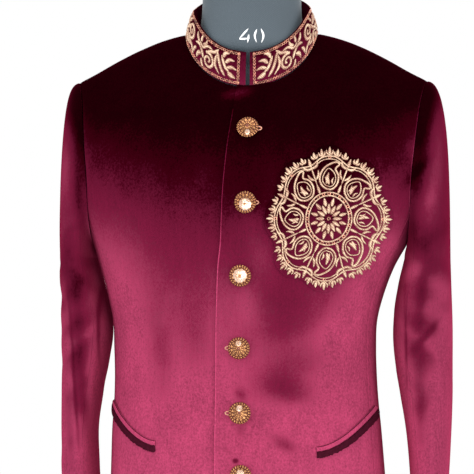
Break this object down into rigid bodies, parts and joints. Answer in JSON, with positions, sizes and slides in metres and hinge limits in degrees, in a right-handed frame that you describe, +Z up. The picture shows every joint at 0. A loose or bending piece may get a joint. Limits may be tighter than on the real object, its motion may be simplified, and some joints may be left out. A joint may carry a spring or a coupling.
{
  "type": "jodhpuri suit jacket on a limbless dress form",
  "caption": "Velvet stand-collar jodhpuri (bandhgala) jacket with embroidered collar and chest motif, buttoned on a limbless dress form with a pole and a round base.",
  "frame": {"origin": "middle of the round base's underside, on the floor", "axes": "+Z up the pole, -Y the jacket's front, +X the wearer's left"},
  "size_m": [0.5126, 0.39, 1.545],
  "materials": {
    "velvet": "maroon cotton velvet with a short pile",
    "collar_velvet": "maroon velvet under gold and copper embroidery",
    "gold_thread": "cream-gold thread embroidery",
    "button_brass": "antique gold, pierced and polished",
    "form_cover": "slate grey knit cover",
    "stand_metal": "satin black paint"
  },
  "bodies": {
    "root": {"front_left": "velvet", "front_right": "velvet", "back_left": "velvet", "back_right": "velvet", "side_left": "velvet", "side_right": "velvet", "sleeve_left_upper": "velvet", "sleeve_left_under": "velvet", "sleeve_right_upper": "velvet", "sleeve_right_under": "velvet", "pocket_left_upper_welt": "velvet", "pocket_left_lower_welt": "velvet", "pocket_right_upper_welt": "velvet", "pocket_right_lower_welt": "velvet", "collar": "collar_velvet", "chest_motif": "gold_thread", "button_1": "button_brass", "button_2": "button_brass", "button_3": "button_brass", "button_4": "button_brass", "button_5": "button_brass", "button_6": "button_brass", "form_torso": "form_cover", "form_pole": "stand_metal", "form_base": "stand_metal"}
  },
  "joints": []
}
